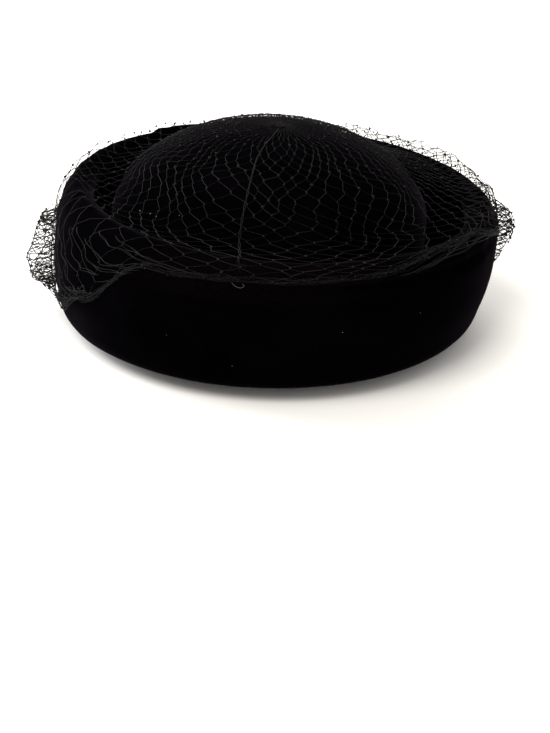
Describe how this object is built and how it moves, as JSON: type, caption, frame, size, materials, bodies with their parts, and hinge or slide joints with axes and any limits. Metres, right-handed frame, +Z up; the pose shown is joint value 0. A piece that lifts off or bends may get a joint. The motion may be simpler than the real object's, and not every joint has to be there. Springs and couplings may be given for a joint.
{
  "type": "velvet hat with net veil",
  "caption": "Black velvet hat: low domed crown set down inside a deep turned-up cuff with a rolled rim, under a coarse black net veil gathered along its edge.",
  "frame": {"origin": "middle of the hat's box on the surface that it rests on", "axes": "+Z up through the crown; +X to the right end of the hat as pictured, where the small tuft of net is; -Y is the pictured side, where the net is bunched along the rim"},
  "size_m": [0.27, 0.2314, 0.1075],
  "materials": {
    "velvet": "black cotton velvet with a short soft pile",
    "net": "black knotted millinery net, dull"
  },
  "bodies": {
    "root": {"cuff": "velvet", "crown": "velvet", "veil": "net", "veil_hem": "net", "veil_bunch_left": "net", "veil_bunch_right": "net"}
  },
  "joints": []
}
